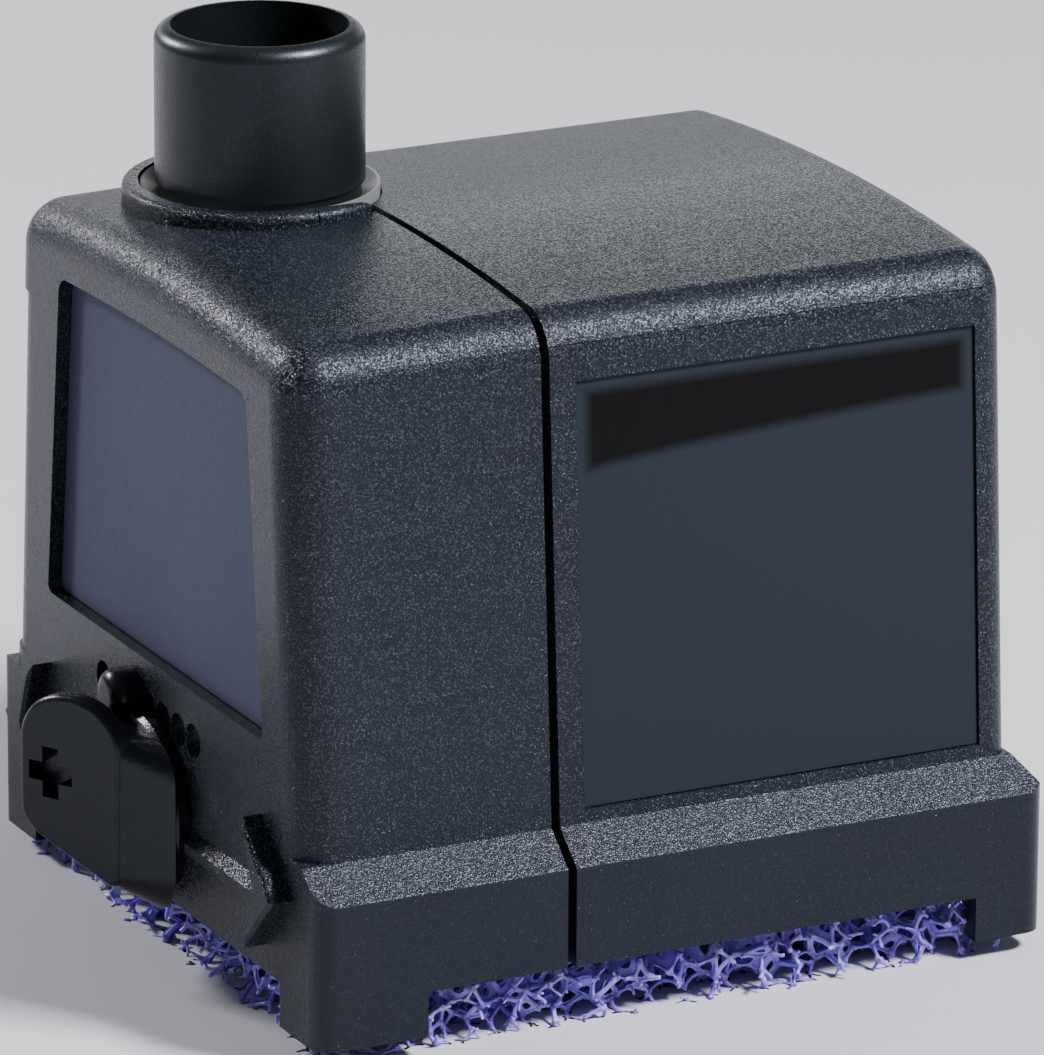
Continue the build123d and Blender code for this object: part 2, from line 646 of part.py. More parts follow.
def make_stator_core():
    core = None
    for side in (1, -1):
        z0, z1 = leg_z(side)
        leg = block(CORE_X0, CORE_X1, STACK_Y0, STACK_Y1, z0, z1)
        core = leg if core is None else core + leg
    reach = LEG_IN + LEG_T
    core = core + block(CORE_X1 - LEG_T, CORE_X1, STACK_Y0, STACK_Y1, ROTOR_Z - reach, ROTOR_Z + reach)
    return core - rod_y(ROTOR_X, ROTOR_Z, WELL_R + WELL_T + 0.1, STACK_Y0 - 1, STACK_Y1 + 1)


def coil_tube(side, grow_in, grow_out, x0, x1):
    """A rectangular tube around one stator leg."""
    z0, z1 = leg_z(side)
    out = block(x0, x1, STACK_Y0 - grow_out, STACK_Y1 + grow_out, z0 - grow_out, z1 + grow_out)
    return out - block(x0 - 1, x1 + 1, STACK_Y0 - grow_in, STACK_Y1 + grow_in, z0 - grow_in, z1 + grow_in)


def make_coil_bobbins():
    bobbins = []
    for side in (1, -1):
        spool = coil_tube(side, 0.05, BOBBIN_T, COIL_X0, COIL_X1)
        for x0 in (COIL_X0, COIL_X1 - BOBBIN_T):
            spool = spool + coil_tube(side, 0.05, COIL_T, x0, x0 + BOBBIN_T)
        bobbins.append(spool.solids()[0])
    return Compound(children=bobbins)


def make_coil_windings():
    coils = []
    for side in (1, -1):
        x0 = COIL_X0 + BOBBIN_T + 0.02
        x1 = COIL_X1 - BOBBIN_T - 0.02
        z0, z1 = leg_z(side)
        grow = COIL_T - 0.4
        coil = block(x0, x1, STACK_Y0 - grow, STACK_Y1 + grow, z0 - grow, z1 + grow)
        coil = fillet(coil.edges().filter_by(Axis.X), 1.5)
        grow = BOBBIN_T + 0.02
        coil = coil - block(x0 - 1, x1 + 1, STACK_Y0 - grow, STACK_Y1 + grow, z0 - grow, z1 + grow)
        coils.append(coil.solids()[0])
    return Compound(children=coils)


def make_thermal_fuse():
    return rod_y(12.7, ROTOR_Z, 1.7, 4.0, 16.0)


def make_splice_sleeves():
    sleeves = []
    for index in (-1, 0, 1):
        sleeves.append(rod_y(GLAND_X + 5 * index, GLAND_Z - 5.0, 1.3, 25.6, 29.2).solids()[0])
    return Compound(children=sleeves)


def make_potting(parts):
    """Resin that fills the case around the well, the core and the coils."""
    fill = case_inside(CASE_Y1 - 1) - well(WELL_R + WELL_T, WELL_END + WELL_T)
    for piece in parts:
        for solid in piece.solids():
            fill = fill - solid
    return fill


def make_rubber_pads():
    pads = []
    for y in (4.0, 24.0):
        pads.append(block(-20, 22, y - 2.5, y + 2.5, GRID_Z1, CASE_Z0).solids()[0])
    return Compound(children=pads)


# ---- rotor ----

def make_rotor_shaft():
    return rod_y(ROTOR_X, ROTOR_Z, SHAFT_R, SHAFT_Y0, SHAFT_Y1)


def make_shaft_seats():
    front = ring_y(ROTOR_X, ROTOR_Z, SHAFT_R, 2.6, COVER_Y0 + 0.5, CAVITY_Y0 - 0.4)
    rear = ring_y(ROTOR_X, ROTOR_Z, SHAFT_R, 2.6, WELL_END - 2.8, WELL_END - 0.3)
    return front, rear


def make_rotor_magnet():
    magnet = ring_y(ROTOR_X, ROTOR_Z, 3.6, MAGNET_R, MAGNET_Y0, MAGNET_Y1)
    return chamfer(magnet.edges().filter_by(GeomType.CIRCLE), 0.3)


def make_rotor_bushes():
    front = ring_y(ROTOR_X, ROTOR_Z, SHAFT_R + RUN, 3.6, MAGNET_Y0, MAGNET_Y0 + 5)
    rear = ring_y(ROTOR_X, ROTOR_Z, SHAFT_R + RUN, 3.6, MAGNET_Y1 - 5, MAGNET_Y1)
    return Compound(children=[front.solids()[0], rear.solids()[0]])


def make_thrust_washers():
    front = ring_y(ROTOR_X, ROTOR_Z, SHAFT_R + 0.03, 2.5, CAVITY_Y0 - 0.3, CAVITY_Y0 + 0.5)
    rear = ring_y(ROTOR_X, ROTOR_Z, SHAFT_R + 0.03, 2.5, MAGNET_Y1 + 0.2, MAGNET_Y1 + 0.9)
    return Compound(children=[front.solids()[0], rear.solids()[0]])


def make_impeller():
    plate = rod_y(ROTOR_X, ROTOR_Z, 10.4, IMPELLER_BACK, IMPELLER_BACK + 1.4)
    hub = rod_y(ROTOR_X, ROTOR_Z, 3.4, IMPELLER_Y0, MAGNET_Y0)
    wheel = plate + hub
    length = IMPELLER_R - 2.0
    for index in range(BLADES):
        angle = 360 * index / BLADES
        x, z = rotor_point(angle, 2.0 + length / 2)
        blade = Box(length, IMPELLER_BACK - IMPELLER_Y0 + 0.2, 1.1)
        middle_y = (IMPELLER_Y0 + IMPELLER_BACK) / 2
        wheel = wheel + Pos(x, middle_y, z) * Rot(0, -angle, 0) * blade
    wheel = wheel + rod_y(ROTOR_X, ROTOR_Z, 6.2, IMPELLER_BACK + 1.4, MAGNET_Y0)
    return wheel - rod_y(ROTOR_X, ROTOR_Z, SHAFT_R + RUN, IMPELLER_Y0 - 1, MAGNET_Y0 + 1)


# ---- flow regulator ----

def grip_sketch(grow):
    """Leaf-shaped outline of the grip as seen from the front, offset by grow."""
    squeeze = math.cos(math.radians(GRIP_YAW))
    left = GRIP_CROSS_X - GRIP_LEFT * squeeze
    right = GRIP_CROSS_X + GRIP_RIGHT * squeeze
    corners = [
        (left - grow, GRIP_CROSS_Z + 8.1 + grow),
        (right + grow, GRIP_CROSS_Z + 7.5 + grow),
        (right + grow - 0.2, GRIP_CROSS_Z - 10.1 - grow),
        (left - grow, GRIP_CROSS_Z - 5.6 - grow),
    ]
    top_radius = 0.48 * (right - left + 2 * grow)
    radii = (top_radius, top_radius, 0.9, 3.4)
    face = make_face(Polyline(*corners, corners[0]))
    for corner, radius in zip(corners, radii):
        point = min(face.vertices(), key=lambda v: math.dist((v.X, v.Y), corner))
        face = fillet(point, radius)
    return face


def flank_outline(right, foot_z, top_radius, foot_radius):
    """Outline of the grip's flank at one depth, rounded at its two right corners."""
    left = GRIP_CROSS_X
    face = Pos((left + right) / 2, (foot_z + FLANK_TOP_Z) / 2) * Rectangle(right - left, FLANK_TOP_Z - foot_z)
    top_corner = max(face.vertices(), key=lambda v: v.X + v.Y)
    face = fillet(top_corner, top_radius)
    foot_corner = max(face.vertices(), key=lambda v: v.X - v.Y)
    return fillet(foot_corner, foot_radius)


def grip_flank(back_y):
    """The wide flank between the right edge of the grip's face and the edge of the disc."""
    back = front_plane(back_y) * flank_outline(FLANK_X, FLANK_FOOT_Z, 3.6, 4.6)
    edge = front_plane(FLANK_EDGE_Y) * flank_outline(FLANK_EDGE_X, FLANK_EDGE_FOOT_Z, 1.6, 0.9)
    return loft([back.faces()[0], edge.faces()[0]], ruled=True)


def slanted_plane():
    """Plane of the grip's face, through the middle of the cross recess."""
    yaw = math.radians(GRIP_YAW)
    origin = (GRIP_CROSS_X, FRONT_Y - GRIP_CROSS_H, GRIP_CROSS_Z)
    along = (math.cos(yaw), math.sin(yaw), 0)
    normal = (math.sin(yaw), -math.cos(yaw), 0)
    return Plane(origin=origin, x_dir=along, z_dir=normal)


def make_regulator_knob():
    disc_back = FRONT_Y - REG_GAP
    disc_front = disc_back - REG_DISC_T
    grip_back = disc_front + 0.1
    wide = front_plane(grip_back) * grip_sketch(1.1)
    narrow = front_plane(grip_back - 14) * grip_sketch(-0.7)
    grip = loft([wide.faces()[0], narrow.faces()[0]], ruled=True)
    face = slanted_plane()
    grip = grip - extrude(face * Rectangle(60, 60), 30)
    behind = extrude(face.offset(-GRIP_BLADE) * Rectangle(60, 60), -30)
    grip = grip - (behind & block(-20, 20, FRONT_Y - 30, FRONT_Y, GRIP_STEP_Z, 60))
    rim = grip.faces().sort_by(Axis((0, 0, 0), tuple(face.z_dir)))[-1].edges()
    grip = fillet(rim, 0.6)
    grip = grip + grip_flank(grip_back)
    disc = rod_y(0, REG_Z, REG_DISC_R, disc_front, disc_back)
    disc = chamfer(disc.edges().sort_by(Axis.Y)[0], 0.4)
    tab = rod_y(TAB_X, TAB_Z, TAB_R, disc_front - TAB_H, disc_back)
    tab = fillet(tab.edges().sort_by(Axis.Y)[0], TAB_ROUND)
    arm_r = TAB_R - 0.1
    arm = Polyline(
        (-8.2, REG_Z + 1), (TAB_X - arm_r, TAB_Z), (TAB_X + arm_r, TAB_Z), (1.2, REG_Z + 6), (-8.2, REG_Z + 1)
    )
    tab = tab + prism_y(make_face(arm), disc_front, disc_back)
    stem = rod_y(0, REG_Z, REG_STEM_R, disc_back - 0.2, SHUTTER_Y0)
    tip = rod_y(0, REG_Z, 2.0, SHUTTER_Y0 - 0.2, SHUTTER_Y1)
    groove = ring_y(0, REG_Z, 2.3, 4.0, FRONT_Y + SKIN + 0.25, FRONT_Y + SKIN + 1.15)
    knob = disc + grip + tab + stem + tip - groove
    cross = Rectangle(CROSS_SPAN, CROSS_ARM) + Rectangle(CROSS_ARM, CROSS_SPAN)
    return knob - extrude(face * cross, -CROSS_DEPTH)


def make_regulator_clip():
    clip = ring_y(0, REG_Z, 2.35, 5.2, FRONT_Y + SKIN + 0.3, FRONT_Y + SKIN + 1.1)
    return clip - block(-2.0, 2.0, FRONT_Y, FRONT_Y + 6, REG_Z - 6, REG_Z)


def make_regulator_shutter():
    disc = rod_y(0, REG_Z, REG_DISC_R, SHUTTER_Y0, SHUTTER_Y1)
    keep = block(-12, 12, SHUTTER_Y0 - 1, SHUTTER_Y1 + 1, REG_Z - 12, REG_Z + 0.5)
    blade = disc & keep
    blade = blade + rod_y(0, REG_Z, 4.0, SHUTTER_Y0, SHUTTER_Y1)
    blade = Pos(0, 0, REG_Z) * Rot(0, 42, 0) * Pos(0, 0, -REG_Z) * blade
    return blade - rod_y(0, REG_Z, 2.0, SHUTTER_Y0 - 1, SHUTTER_Y1 + 1)


# ---- cable inlet ----

def make_cable_gland():
    body = rod_y(GLAND_X, GLAND_Z, GLAND_BODY_R, CASE_Y1 - 0.9, WALL_REAR_Y)
    hexagon = prism_y(Pos(GLAND_X, GLAND_Z) * RegularPolygon(GLAND_HEX_R, 6), WALL_REAR_Y, WALL_REAR_Y + 3)
    dome = cone_y(GLAND_X, GLAND_Z, 6.2, 4.6, WALL_REAR_Y + 3, GLAND_END)
    gland = body + hexagon + dome
    return gland - rod_y(GLAND_X, GLAND_Z, GLAND_BORE_R, CASE_Y1 - 3, GLAND_END + 1)


# ---- write every piece ----

def make_all():
    front_seat, rear_seat = make_shaft_seats()
    core = make_stator_core()
    bobbins = make_coil_bobbins()
    windings = make_coil_windings()
    fuse = make_thermal_fuse()
    sleeves = make_splice_sleeves()
    return {
        "rear_shell": make_rear_shell(),
        "side_label": make_side_label(),
        "filter_foam": make_filter_foam(),
        "foam_grid": make_foam_grid(),
        "pump_chamber": make_pump_chamber(),
        "chamber_cover": make_chamber_cover(),
        "chamber_o_ring": make_chamber_o_ring(),
        "chamber_screws": make_chamber_screws(),
        "outlet_stub": make_outlet_stub(),
        "stub_o_ring": make_stub_o_ring(),
        "outlet_grommet": make_outlet_grommet(),
        "motor_housing": make_motor_housing(),
        "stator_core": core,
        "coil_bobbins": bobbins,
        "coil_windings": windings,
        "thermal_fuse": fuse,
        "splice_sleeves": sleeves,
        "potting_resin": make_potting([core, bobbins, windings, fuse, sleeves]),
        "rubber_pads": make_rubber_pads(),
        "rotor_shaft": make_rotor_shaft(),
        "front_shaft_seat": front_seat,
        "rear_shaft_seat": rear_seat,
        "thrust_washers": make_thrust_washers(),
        "rotor_magnet": make_rotor_magnet(),
        "rotor_bushes": make_rotor_bushes(),
        "impeller": make_impeller(),
        "cable_gland": make_cable_gland(),
        "front_shell": make_front_shell(),
        "front_label": make_front_label(),
        "regulator_knob": make_regulator_knob(),
        "regulator_clip": make_regulator_clip(),
        "regulator_shutter": make_regulator_shutter(),
    }


def main():
    os.makedirs("parts", exist_ok=True)
    for name, shape in make_all().items():
        export_step(shape, f"parts/{name}.step")


main()
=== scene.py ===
import json
import math
import random

import bpy
from mathutils import Matrix, Vector


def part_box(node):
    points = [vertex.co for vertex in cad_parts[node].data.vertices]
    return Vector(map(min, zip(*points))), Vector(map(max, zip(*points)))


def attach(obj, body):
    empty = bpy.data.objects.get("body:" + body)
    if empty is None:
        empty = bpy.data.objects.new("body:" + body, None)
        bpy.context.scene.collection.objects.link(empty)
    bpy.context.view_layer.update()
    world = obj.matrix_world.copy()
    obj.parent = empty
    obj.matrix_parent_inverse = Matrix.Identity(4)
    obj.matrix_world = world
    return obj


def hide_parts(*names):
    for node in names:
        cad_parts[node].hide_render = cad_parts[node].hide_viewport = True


# ---- what the frame holds ----

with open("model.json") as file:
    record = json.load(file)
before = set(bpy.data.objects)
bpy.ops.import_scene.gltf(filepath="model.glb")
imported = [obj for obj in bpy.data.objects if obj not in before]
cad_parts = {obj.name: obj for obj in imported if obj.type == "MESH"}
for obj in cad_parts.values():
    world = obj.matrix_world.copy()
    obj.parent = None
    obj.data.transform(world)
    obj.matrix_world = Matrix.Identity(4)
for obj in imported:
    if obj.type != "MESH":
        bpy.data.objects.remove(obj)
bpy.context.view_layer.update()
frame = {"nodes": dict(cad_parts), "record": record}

MM = 0.001

# ---- camera: its place in millimetres, in the object's own frame ----

CAMERA_MM = (771.97, -386.51, 317.29)
CAMERA_RIGHT = (0.44688, 0.89457, 0.00558)
CAMERA_UP = (-0.27815, 0.13302, 0.95128)
CAMERA_LENS = 319.4
CAMERA_SENSOR = 36.0
CAMERA_NEAR = 0.05       # metres
CAMERA_FAR = 20.0

# ---- lights: place and size in metres, power in watts, and colour ----

LIGHT_TARGET = (0, 0, 0.04)
LIGHTS = {
    "high_softbox": ((0.43, 0.35, 0.66), (0.17, 0.17), 18.0, (0.93, 0.92, 1.0)),
    "left_softbox": ((-0.72, -0.40, 0.48), (0.12, 0.12), 9.0, (0.97, 0.93, 1.0)),
    "rear_panel": ((-1.35, 0.72, 0.22), (1.5, 0.30), 2.6, (1.0, 1.0, 1.0)),
}
WORLD_COLOUR = (0.80, 0.90, 1.0, 1.0)
WORLD_STRENGTH = 0.20
FLOOR_REACH = 3.0        # half the floor's side, metres
FLOOR_COLOUR = (0.56, 0.56, 0.57, 1.0)

# ---- moulded plastics with a spark-eroded grain, by material slot ----
# grain and depth are the size of a grain dome and its height, in millimetres,
# and rough is the roughness of the highest domes and of the rest

# the gain in each row lightens the colour of the highest domes: painted glints
GRAINED = {
    "shell_plastic": {
        "dark": (0.0040, 0.0060, 0.0095), "light": (0.0055, 0.0080, 0.0125), "grain": 0.15,
        "depth": 0.16, "rough": (0.13, 0.27), "specular": 0.30, "tip_gain": 5.2,
    },
    "stub_plastic": {
        "dark": (0.0022, 0.0040, 0.0034), "light": (0.0032, 0.0058, 0.0050), "grain": 0.20,
        "depth": 0.012, "rough": (0.30, 0.40), "specular": 0.50, "tip_gain": 1.2,
    },
    "knob_plastic": {
        "dark": (0.0035, 0.0040, 0.0045), "light": (0.0050, 0.0058, 0.0065), "grain": 0.18,
        "depth": 0.03, "rough": (0.22, 0.30), "specular": 0.30, "tip_gain": 1.5,
    },
    "inner_plastic": {
        "dark": (0.012, 0.012, 0.014), "light": (0.020, 0.020, 0.022), "grain": 0.25,
        "depth": 0.02, "rough": (0.35, 0.55), "specular": 0.50, "tip_gain": 4.0,
    },
    "gland_plastic": {
        "dark": (0.010, 0.010, 0.012), "light": (0.018, 0.018, 0.020), "grain": 0.25,
        "depth": 0.02, "rough": (0.32, 0.50), "specular": 0.50, "tip_gain": 4.0,
    },
}
SMOOTHED_SLOT = "shell_plastic"      # the slot whose grain is weaker on the plinth's sides
# tint of the painted glints on the highest domes
PAINTED_GLINT_TINT = (0.9, 1.0, 1.15)
SPECULAR_TINT = (0.82, 0.88, 1.0, 1.0)
SPECK_POWER = 2.2        # the higher, the fewer high domes
DOME_HEIGHT = 0.45
PIT_SHARE = 0.40         # height of the fine pits, as a share of the domes'

# ---- the plinth's smoother sides, millimetres ----

PLINTH_TOP = 16.1
PLINTH_BLEND = 0.3       # height over which the grain comes back
PLINTH_INNER_X = 35.2    # the sides lie further out than this
PLINTH_GRAIN = 0.50      # share of the grain on them

# ---- smooth plastics, rubber and ceramic: dark, light, roughness and specular level ----

SMOOTH = {
    "front_panel": ((0.043, 0.050, 0.092), (0.047, 0.054, 0.099), 0.50, 0.15),
    "grommet": ((0.16, 0.16, 0.155), (0.22, 0.22, 0.21), 0.32, 0.5),
    "rubber": ((0.010, 0.010, 0.010), (0.02, 0.02, 0.02), 0.6, 0.5),
    "bobbin": ((0.55, 0.53, 0.46), (0.65, 0.63, 0.56), 0.4, 0.5),
    "resin": ((0.010, 0.010, 0.011), (0.016, 0.016, 0.017), 0.18, 0.5),
    "ceramic": ((0.72, 0.70, 0.65), (0.80, 0.79, 0.75), 0.2, 0.5),
    "impeller_plastic": ((0.55, 0.56, 0.56), (0.66, 0.67, 0.67), 0.35, 0.5),
}

# ---- metals: colour, roughness, grain per millimetre and metallic share ----

METALS = {
    "screw_steel": ((0.55, 0.55, 0.54), 0.28, 3.0, 1.0),
    "fuse_metal": ((0.6, 0.6, 0.62), 0.3, 3.0, 1.0),
    "magnet": ((0.055, 0.055, 0.06), 0.5, 4.0, 0.3),
}

# ---- banded metals: axis, two colours, pitch in millimetres and roughness ----

BANDED = {
    "lamination": ("Y", (0.10, 0.10, 0.11), (0.30, 0.30, 0.31), 0.5, 0.4),
    "copper": ("X", (0.28, 0.09, 0.03), (0.60, 0.24, 0.10), 0.4, 0.3),
}

# ---- side panel and the dark band across its top, millimetres ----

PANEL_COLOUR = (0.0145, 0.0195, 0.0260)
PANEL_ROUGH = 0.34
BAND_COLOUR = (0.001, 0.001, 0.001)
BAND_ROUGH = 0.22
BAND_DEPTH = 9.6         # from the panel's top to the band's foot, at the front
BAND_RISE = 3.2          # how much higher the foot lies at the rear
BAND_CURVE = 0.6         # below 1, the foot rises mostly near the front
BAND_MARGIN = 0.6        # from the panel's edges
BAND_BLUR = 1.1          # width of the band's soft edge

# ---- foam: a network of struts and webs round a core coloured dark as painted shade, millimetres ----

FOAM_SEED = 7
FOAM_CELL = 4.3          # size of one foam cell
FOAM_JITTER = 0.62       # how far a cell corner strays
FOAM_START = 0.62        # how far below the foam the cells start, in cells
FOAM_SLACK = 0.9         # how far the foam's skin stands proud of its solid
FOAM_SKIN = 7.0          # depth of the sides that is built as struts
FOAM_SOLE = 3.0          # depth of the underside that is built as struts
FOAM_TOP = 7.4           # height up to which struts are built
FOAM_FLOOR_GAP = 0.02
STRUT_WAIST = 0.15       # radius of a strut at its middle
STRUT_END = 0.38         # radius of a strut where struts meet
STRUT_SIDES = 5
STRUT_RINGS = 4
STRUT_SHORTEST = 0.2
STRUT_BOW = 0.10         # how far a strut bows, as a share of its length
STRUT_TAPER = 1.3        # how fast a strut thins towards its middle
STRUT_LOBES = 0.22       # depth of the hollows along a strut
END_SPREAD = (0.8, 1.2)
WAIST_SPREAD = (0.8, 1.5)
CUT_SPREAD = (0.25, 0.75)            # where a strut at the skin is cut
CUT_WAIST = 0.9
WEB_SHARE = 0.80         # share of windows with a web
WEB_HOLES = (0.45, 0.66, 0.76, 0.84)
WEB_CORNER = 0.86        # the hole's reach at a window's corners
WEB_STRAY = 0.25
WEB_SPREAD = (0.9, 1.05)
CORE_INSET = 5.0         # from the foam's sides
CORE_FOOT = 2.6          # above the foam's underside
CORE_TOP = 0.3           # below the foam's top
CORE_STRAY = 0.9         # unevenness of the core's skin
CORE_STEPS = (28, 28, 5)


# ================= material helpers =================

def new_material(name):
    """An empty node material with its shader."""
    material = bpy.data.materials.new(name)
    material.use_nodes = True
    tree = material.node_tree
    shader = tree.nodes["Principled BSDF"]
    return material, tree, shader


def add(tree, kind, **values):
    """A node with its inputs set by name."""
    node = tree.nodes.new(kind)
    for key, value in values.items():
        node.inputs[key].default_value = value
    return node


def object_coords(tree):
    """Object-space coordinates."""
    return tree.nodes.new("ShaderNodeTexCoord").outputs["Object"]


def split_axes(tree, coords):
    """The X, Y and Z outputs of some coordinates."""
    node = tree.nodes.new("ShaderNodeSeparateXYZ")
    tree.links.new(coords, node.inputs[0])
    return node.outputs["X"], node.outputs["Y"], node.outputs["Z"]


def noise(tree, coords, scale, detail=2.0, rough=0.5):
    """Noise in object space, scale given per millimetre."""
    node = add(tree, "ShaderNodeTexNoise", Scale=scale / MM, Detail=detail, Roughness=rough)
    tree.links.new(coords, node.inputs["Vector"])
    return node.outputs["Fac"]


def ramp(tree, fac, stops):
    """Colour ramp from (position, colour) stops."""
    node = tree.nodes.new("ShaderNodeValToRGB")
    elements = node.color_ramp.elements
    while len(elements) < len(stops):
        elements.new(0.5)
    for element, (position, colour) in zip(elements, stops):
        element.position = position
        element.color = (*colour, 1.0)
    tree.links.new(fac, node.inputs["Fac"])
    return node.outputs["Color"]


def grey_ramp(tree, fac, low, high, value_low, value_high):
    """Maps fac from low..high to grey values."""
    stops = ((low, (value_low,) * 3), (high, (value_high,) * 3))
    return ramp(tree, fac, stops)


def math_node(tree, operation, *values):
    """A math node on sockets or numbers."""
    node = tree.nodes.new("ShaderNodeMath")
    node.operation = operation
    for index, value in enumerate(values):
        if isinstance(value, (int, float)):
            node.inputs[index].default_value = value
        else:
            tree.links.new(value, node.inputs[index])
    return node.outputs[0]


def mixed(tree, share, colour, other):
    """A colour socket mixed with a plain colour."""
    node = tree.nodes.new("ShaderNodeMix")
    node.data_type = "RGBA"
    tree.links.new(share, node.inputs["Factor"])
    tree.links.new(colour, node.inputs["A"])
    node.inputs["B"].default_value = (*other, 1.0)
    return node.outputs["Result"]


def bump(tree, height, distance_mm):
    """Bump from a height socket."""
    node = add(tree, "ShaderNodeBump", Strength=1.0, Distance=distance_mm * MM)
    tree.links.new(height, node.inputs["Height"])
    return node.outputs["Normal"]


# ================= materials =================

def speck_domes(tree, coords, size_mm):
    """Small domes of random height, one to a cell, and each cell's random share."""
    cells = add(tree, "ShaderNodeTexVoronoi", Scale=1 / (size_mm * MM))
    tree.links.new(coords, cells.inputs["Vector"])
    split = tree.nodes.new("ShaderNodeSeparateColor")
    tree.links.new(cells.outputs["Color"], split.inputs[0])
    share = math_node(tree, "POWER", split.outputs[0], SPECK_POWER)
    reach = math_node(tree, "MULTIPLY", cells.outputs["Distance"], cells.outputs["Distance"])
    dome = math_node(tree, "SUBTRACT", DOME_HEIGHT, reach)
    return math_node(tree, "MULTIPLY", dome, share), share


def grain_strength(tree, coords):
    """One everywhere but on the plinth's sides, where the mould is smoother."""
    x, _, z = split_axes(tree, coords)
    rise = math_node(tree, "SUBTRACT", z, PLINTH_TOP * MM)
    rise = math_node(tree, "DIVIDE", rise, PLINTH_BLEND * MM)
    above = grey_ramp(tree, rise, 0.0, 1.0, PLINTH_GRAIN, 1.0)
    sideways = math_node(tree, "ABSOLUTE", x)
    inside = math_node(tree, "LESS_THAN", sideways, PLINTH_INNER_X * MM)
    return math_node(tree, "MAXIMUM", above, inside)


def grained_plastic(name, dark, light, grain, depth, rough, specular, tip_gain):
    """Dark moulded plastic with a spark-eroded grain of small domes and pits, and painted glints: the
    highest domes get a lighter colour.
    """
    material, tree, shader = new_material(name)
    coords = object_coords(tree)
    domes, share = speck_domes(tree, coords, grain)
    pits = noise(tree, coords, 0.8 / grain, 1.0, 0.6)
    if name == SMOOTHED_SLOT:
        strength = grain_strength(tree, coords)
        domes = math_node(tree, "MULTIPLY", domes, strength)
        share = math_node(tree, "MULTIPLY", share, strength)
        pits = math_node(tree, "MULTIPLY", pits, strength)
    height = math_node(tree, "ADD", domes, math_node(tree, "MULTIPLY", pits, PIT_SHARE))
    tree.links.new(bump(tree, height, depth), shader.inputs["Normal"])
    patches = noise(tree, coords, 0.05, 2.0, 0.5)
    colour = ramp(tree, patches, ((0.35, dark), (0.7, light)))
    # painted glints: the highest domes get a lighter, bluer base colour
    painted_glint_colour = tuple(tip_gain * light[1] * tint for tint in PAINTED_GLINT_TINT)
    colour_with_painted_glints = mixed(tree, grey_ramp(tree, share, 0.35, 0.85, 0.0, 1.0), colour, painted_glint_colour)
    tree.links.new(colour_with_painted_glints, shader.inputs["Base Color"])
    smoother, rougher = rough
    roughness = grey_ramp(tree, share, 0.1, 0.8, rougher, smoother)
    tree.links.new(roughness, shader.inputs["Roughness"])
    shader.inputs["Specular IOR Level"].default_value = specular
    shader.inputs["Specular Tint"].default_value = SPECULAR_TINT
    return material


def smooth_panel(name, dark, light, rough, specular):
    """Smooth satin surface with faint waviness."""
    material, tree, shader = new_material(name)
    coords = object_coords(tree)
    patches = noise(tree, coords, 0.04, 2.0, 0.5)
    fine = noise(tree, coords, 1.6, 2.0, 0.5)
    colour = ramp(tree, patches, ((0.35, dark), (0.7, light)))
    tree.links.new(colour, shader.inputs["Base Color"])
    roughness = grey_ramp(tree, fine, 0.3, 0.7, rough, rough + 0.08)
    tree.links.new(roughness, shader.inputs["Roughness"])
    tree.links.new(bump(tree, fine, 0.006), shader.inputs["Normal"])
    shader.inputs["Specular IOR Level"].default_value = specular
    return material


def panel_band(tree, coords):
    """From 0 outside the side panel's dark band to 1 inside it."""
    low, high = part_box("side_label")
    _, y, z = split_axes(tree, coords)
    along = math_node(tree, "SUBTRACT", y, low.y)
    rise = math_node(tree, "DIVIDE", along, high.y - low.y)
    rise = math_node(tree, "POWER", rise, BAND_CURVE)
    rise = math_node(tree, "MULTIPLY", rise, BAND_RISE * MM)
    foot = math_node(tree, "SUBTRACT", z, high.z - BAND_DEPTH * MM)
    foot = math_node(tree, "SUBTRACT", foot, rise)
    top = math_node(tree, "SUBTRACT", high.z - BAND_MARGIN * MM, z)
    right = math_node(tree, "SUBTRACT", (high.y - low.y) - BAND_MARGIN * MM, along)
    left = math_node(tree, "SUBTRACT", along, BAND_MARGIN * MM)
    upright = math_node(tree, "MINIMUM", foot, top)
    sideways = math_node(tree, "MINIMUM", left, right)
    inside = math_node(tree, "MINIMUM", upright, sideways)
    return math_node(tree, "DIVIDE", inside, BAND_BLUR * MM)


def side_panel_material():
    """Dark slate panel with a glossy near-black band across its top."""
    material, tree, shader = new_material("side_panel")
    coords = object_coords(tree)
    band = panel_band(tree, coords)
    colour = ramp(tree, band, ((0.0, PANEL_COLOUR), (1.0, BAND_COLOUR)))
    tree.links.new(colour, shader.inputs["Base Color"])
    roughness = grey_ramp(tree, band, 0.0, 1.0, PANEL_ROUGH, BAND_ROUGH)
    tree.links.new(roughness, shader.inputs["Roughness"])
    fine = noise(tree, coords, 1.6, 2.0, 0.5)
    tree.links.new(bump(tree, fine, 0.004), shader.inputs["Normal"])
    shader.inputs["Specular IOR Level"].default_value = 0.1
    return material


def foam_material():
    """Glossy blue-violet foam skin that lets some light through."""
    material, tree, shader = new_material("foam_struts")
    coords = object_coords(tree)
    patches = noise(tree, coords, 0.22, 3.0, 0.6)
    stops = ((0.3, (0.20, 0.11, 0.62)), (0.5, (0.29, 0.22, 0.80)), (0.68, (0.44, 0.43, 0.95)))
    tree.links.new(ramp(tree, patches, stops), shader.inputs["Base Color"])
    fine = noise(tree, coords, 1.1, 2.0, 0.5)
    tree.links.new(bump(tree, fine, 0.06), shader.inputs["Normal"])
    shader.inputs["Roughness"].default_value = 0.24
    shader.inputs["Specular IOR Level"].default_value = 0.6
    shader.inputs["Subsurface Weight"].default_value = 0.35
    shader.inputs["Subsurface Radius"].default_value = (0.3, 0.3, 1.0)
    shader.inputs["Subsurface Scale"].default_value = 1.2 * MM
    return material


